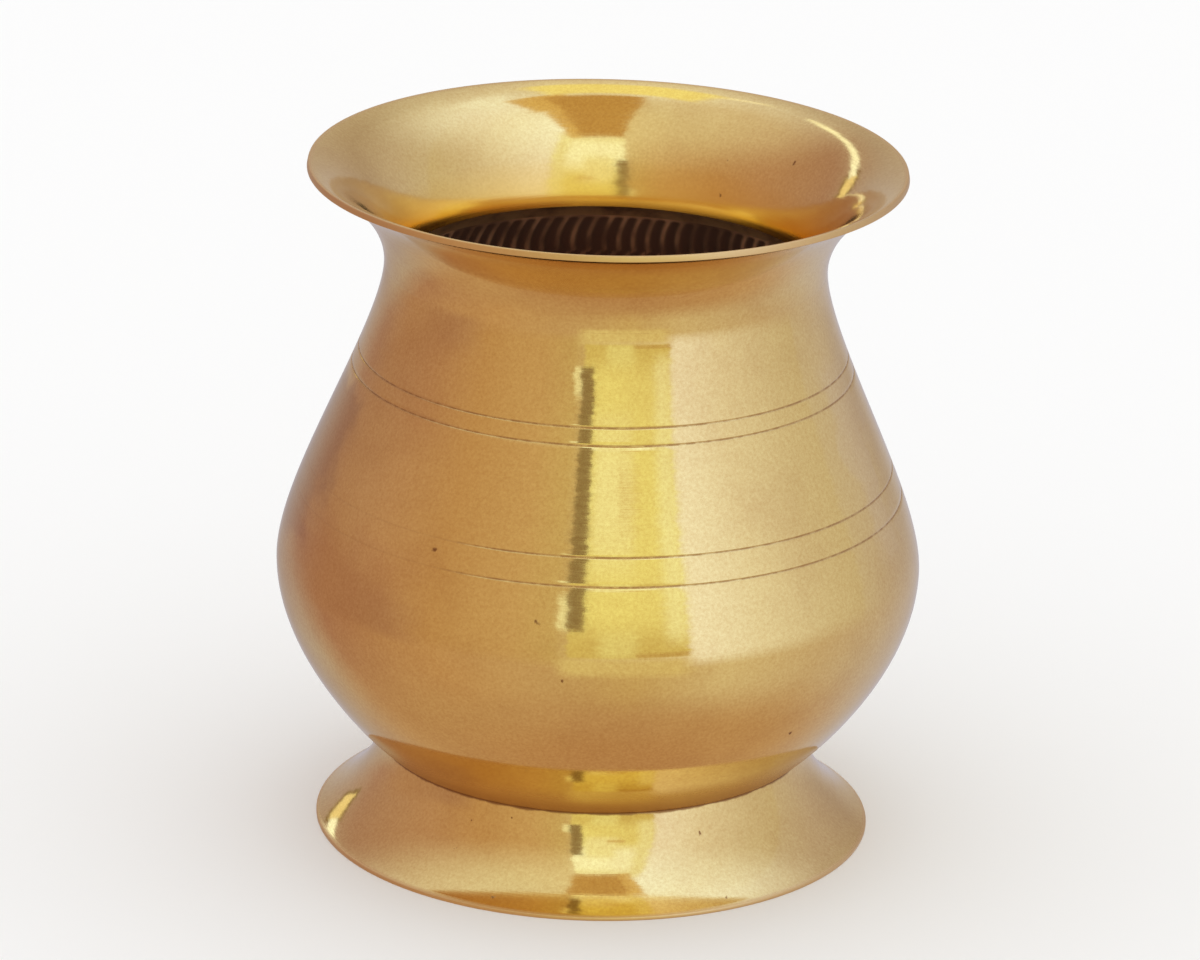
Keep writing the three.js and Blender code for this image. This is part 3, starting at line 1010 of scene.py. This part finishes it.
def studio_world(world):
    """A pale room. Metal sees it with warm and bright walls, a brown floor and a tall window in front."""
    world.use_nodes = True
    tree = world.node_tree
    tree.nodes.clear()
    x, y, z = put(tree, "ShaderNodeSeparateXYZ", {0: put(tree, "ShaderNodeTexCoord").outputs["Generated"]}).outputs
    azimuth = math_node(tree, "DEGREES", math_node(tree, "ARCTAN2", x, math_node(tree, "MULTIPLY", y, -1.0)))
    elevation = math_node(tree, "DEGREES", math_node(tree, "ARCSINE", z))
    room = ring_of_colours(tree, azimuth, LOW_WALLS)
    for span, ring in ((HIGH_WALLS_FROM, HIGH_WALLS), (NEAR_FLOOR_FROM, NEAR_FLOOR)):
        room = mix_colour(tree, map_range(tree, elevation, *span), room, ring_of_colours(tree, azimuth, ring))
    for start, end, colour in LOWER_TONES:
        room = mix_colour(tree, map_range(tree, elevation, start, end), room, colour)
    for *shape, colour in PANELS:
        room = mix_colour(tree, box_mask(tree, azimuth, elevation, *shape), room, colour)
    sideways = math_node(tree, "DIVIDE", x, z)
    ahead = math_node(tree, "DIVIDE", math_node(tree, "MULTIPLY", y, -1.0), z)
    above = map_range(tree, z, 0.1, 0.2)
    for *shape, colour in CEILING:
        mask = math_node(tree, "MULTIPLY", above, box_mask(tree, sideways, ahead, *shape))
        room = mix_colour(tree, mask, room, colour)
    seen = put(tree, "ShaderNodeBackground", {"Color": room, "Strength": 1.0})
    plain = put(tree, "ShaderNodeBackground", {"Color": (1.0, 1.0, 1.0, 1), "Strength": PLAIN_LIGHT})
    glossy = put(tree, "ShaderNodeLightPath").outputs["Is Glossy Ray"]
    mixed = put(tree, "ShaderNodeMixShader", {0: glossy, 1: plain.outputs[0], 2: seen.outputs[0]})
    put(tree, "ShaderNodeOutputWorld", {"Surface": mixed.outputs[0]})


class LOTA_OT_stage(bpy.types.Operator):
    """Makes the camera, the pale floor and the soft light"""

    bl_idname = "lota.stage"
    bl_label = "Stage"

    def execute(self, context):
        scene = context.scene
        camera = bpy.data.objects.new("camera", bpy.data.cameras.new("camera"))
        scene.collection.objects.link(camera)
        camera.data.lens = CAMERA_LENS
        camera.data.sensor_width = SENSOR_WIDTH
        camera.data.clip_start = CLIP_START
        tilt = Matrix.Rotation(math.pi / 2 - CAMERA_PITCH, 4, "X")
        camera.matrix_world = Matrix.Translation(CAMERA_PLACE) @ tilt @ Matrix.Rotation(CAMERA_ROLL, 4, "Z")
        scene.camera = camera
        scene.view_settings.view_transform = "Standard"

        bm = bmesh.new()
        bmesh.ops.create_circle(bm, cap_ends=True, radius=FLOOR_RADIUS, segments=FLOOR_SEGMENTS)
        mesh = bpy.data.meshes.new("floor")
        bm.to_mesh(mesh)
        bm.free()
        floor = bpy.data.objects.new("floor", mesh)
        scene.collection.objects.link(floor)
        material = bpy.data.materials.new("floor")
        material.use_nodes = True
        shader = material.node_tree.nodes["Principled BSDF"]
        shader.inputs["Base Color"].default_value = (*scene.lota_finish.floor_colour, 1)
        shader.inputs["Roughness"].default_value = FLOOR_ROUGHNESS
        mesh.materials.append(material)
        floor.visible_glossy = False

        scene.world = scene.world or bpy.data.worlds.new("studio")
        studio_world(scene.world)
        return {"FINISHED"}


class LOTA_PT_panel(bpy.types.Panel):
    """Lists the steps that make the vessel"""

    bl_idname = "LOTA_PT_panel"
    bl_label = "Brass lota"
    bl_space_type = "VIEW_3D"
    bl_region_type = "UI"
    bl_category = "Lota"

    def draw(self, context):
        for operator in STEPS:
            self.layout.operator(operator.bl_idname)
        for group in (context.scene.lota_sizes, context.scene.lota_finish):
            for name in group.__annotations__:
                self.layout.prop(group, name)


STEPS = (LOTA_OT_stage, LOTA_OT_mouth, LOTA_OT_shoulder, LOTA_OT_bowl, LOTA_OT_foot, LOTA_OT_brazing)
CLASSES = (LotaSizes, LotaFinish, *STEPS, LOTA_PT_panel)


def register():
    for item in CLASSES:
        bpy.utils.register_class(item)
    bpy.types.Scene.lota_sizes = PointerProperty(type=LotaSizes)
    bpy.types.Scene.lota_finish = PointerProperty(type=LotaFinish)


def unregister():
    del bpy.types.Scene.lota_sizes
    del bpy.types.Scene.lota_finish
    for item in reversed(CLASSES):
        bpy.utils.unregister_class(item)


def main():
    register()
    bpy.ops.lota.stage()
    bpy.ops.lota.mouth()
    bpy.ops.lota.shoulder()
    bpy.ops.lota.bowl()
    bpy.ops.lota.foot()
    bpy.ops.lota.brazing()


if __name__ == "__main__":
    main()
